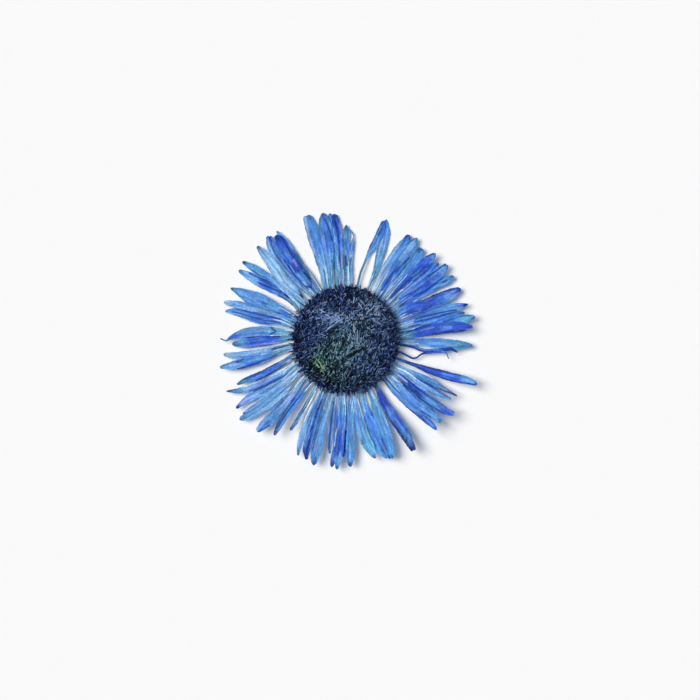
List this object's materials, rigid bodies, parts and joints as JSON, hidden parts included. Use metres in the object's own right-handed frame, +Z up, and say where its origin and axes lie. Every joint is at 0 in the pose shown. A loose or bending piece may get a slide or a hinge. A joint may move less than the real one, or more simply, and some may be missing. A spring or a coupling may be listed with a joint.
{
  "type": "pressed fleabane flower",
  "caption": "Pressed and dried daisy-like flower head lying face up: narrow blue dyed rays around a low dark navy disc of bristly florets, green bracts beneath.",
  "frame": {"origin": "on the resting plane, under the middle of the head's outline", "axes": "+Z up out of the face of the flower; +Y away from a viewer who looks down with +X to the right"},
  "size_m": [0.03, 0.03, 0.0022],
  "materials": {
    "ray_sky": "matte, dried petal dyed sky blue",
    "ray_royal": "matte, dried petal dyed royal blue",
    "ray_violet": "matte, dried petal dyed violet blue",
    "disc_florets": "matte, dense dried florets and bristles",
    "phyllary": "matte, dried bract",
    "receptacle": "matte, dried pith"
  },
  "bodies": {
    "root": {"disc_florets": "disc_florets", "phyllaries_inner": "phyllary", "phyllaries_outer": "phyllary", "ray_01": "ray_sky", "ray_02": "ray_royal", "ray_03": "ray_royal", "ray_04": "ray_royal", "ray_05_06": "ray_royal", "ray_07_08": "ray_royal", "ray_09": "ray_sky", "ray_10": "ray_sky", "ray_11": "ray_royal", "ray_12": "ray_violet", "ray_13": "ray_royal", "ray_14": "ray_royal", "ray_15": "ray_violet", "ray_16": "ray_royal", "ray_17": "ray_royal", "ray_18": "ray_royal", "ray_19": "ray_royal", "ray_20": "ray_violet", "ray_21": "ray_sky", "ray_22": "ray_royal", "ray_23": "ray_violet", "ray_24": "ray_royal", "ray_25": "ray_royal", "ray_26": "ray_royal", "ray_27": "ray_royal", "ray_28": "ray_royal", "ray_29": "ray_violet", "ray_30": "ray_sky", "ray_31": "ray_sky", "ray_32": "ray_royal", "ray_33": "ray_sky", "ray_34_35": "ray_royal", "ray_36": "ray_royal", "ray_37": "ray_sky", "ray_38": "ray_royal", "ray_39": "ray_sky", "ray_40": "ray_royal", "ray_41": "ray_royal", "ray_42": "ray_royal", "ray_43": "ray_sky", "ray_44": "ray_sky", "ray_45": "ray_sky", "ray_46": "ray_violet", "ray_47": "ray_sky", "ray_48": "ray_sky", "ray_49": "ray_sky", "ray_50": "ray_royal", "ray_51": "ray_sky", "ray_52": "ray_royal", "ray_53": "ray_sky", "ray_54": "ray_royal", "ray_55": "ray_sky", "ray_56": "ray_sky", "ray_57": "ray_sky", "ray_58": "ray_violet", "ray_59": "ray_royal", "receptacle": "receptacle"}
  },
  "joints": []
}
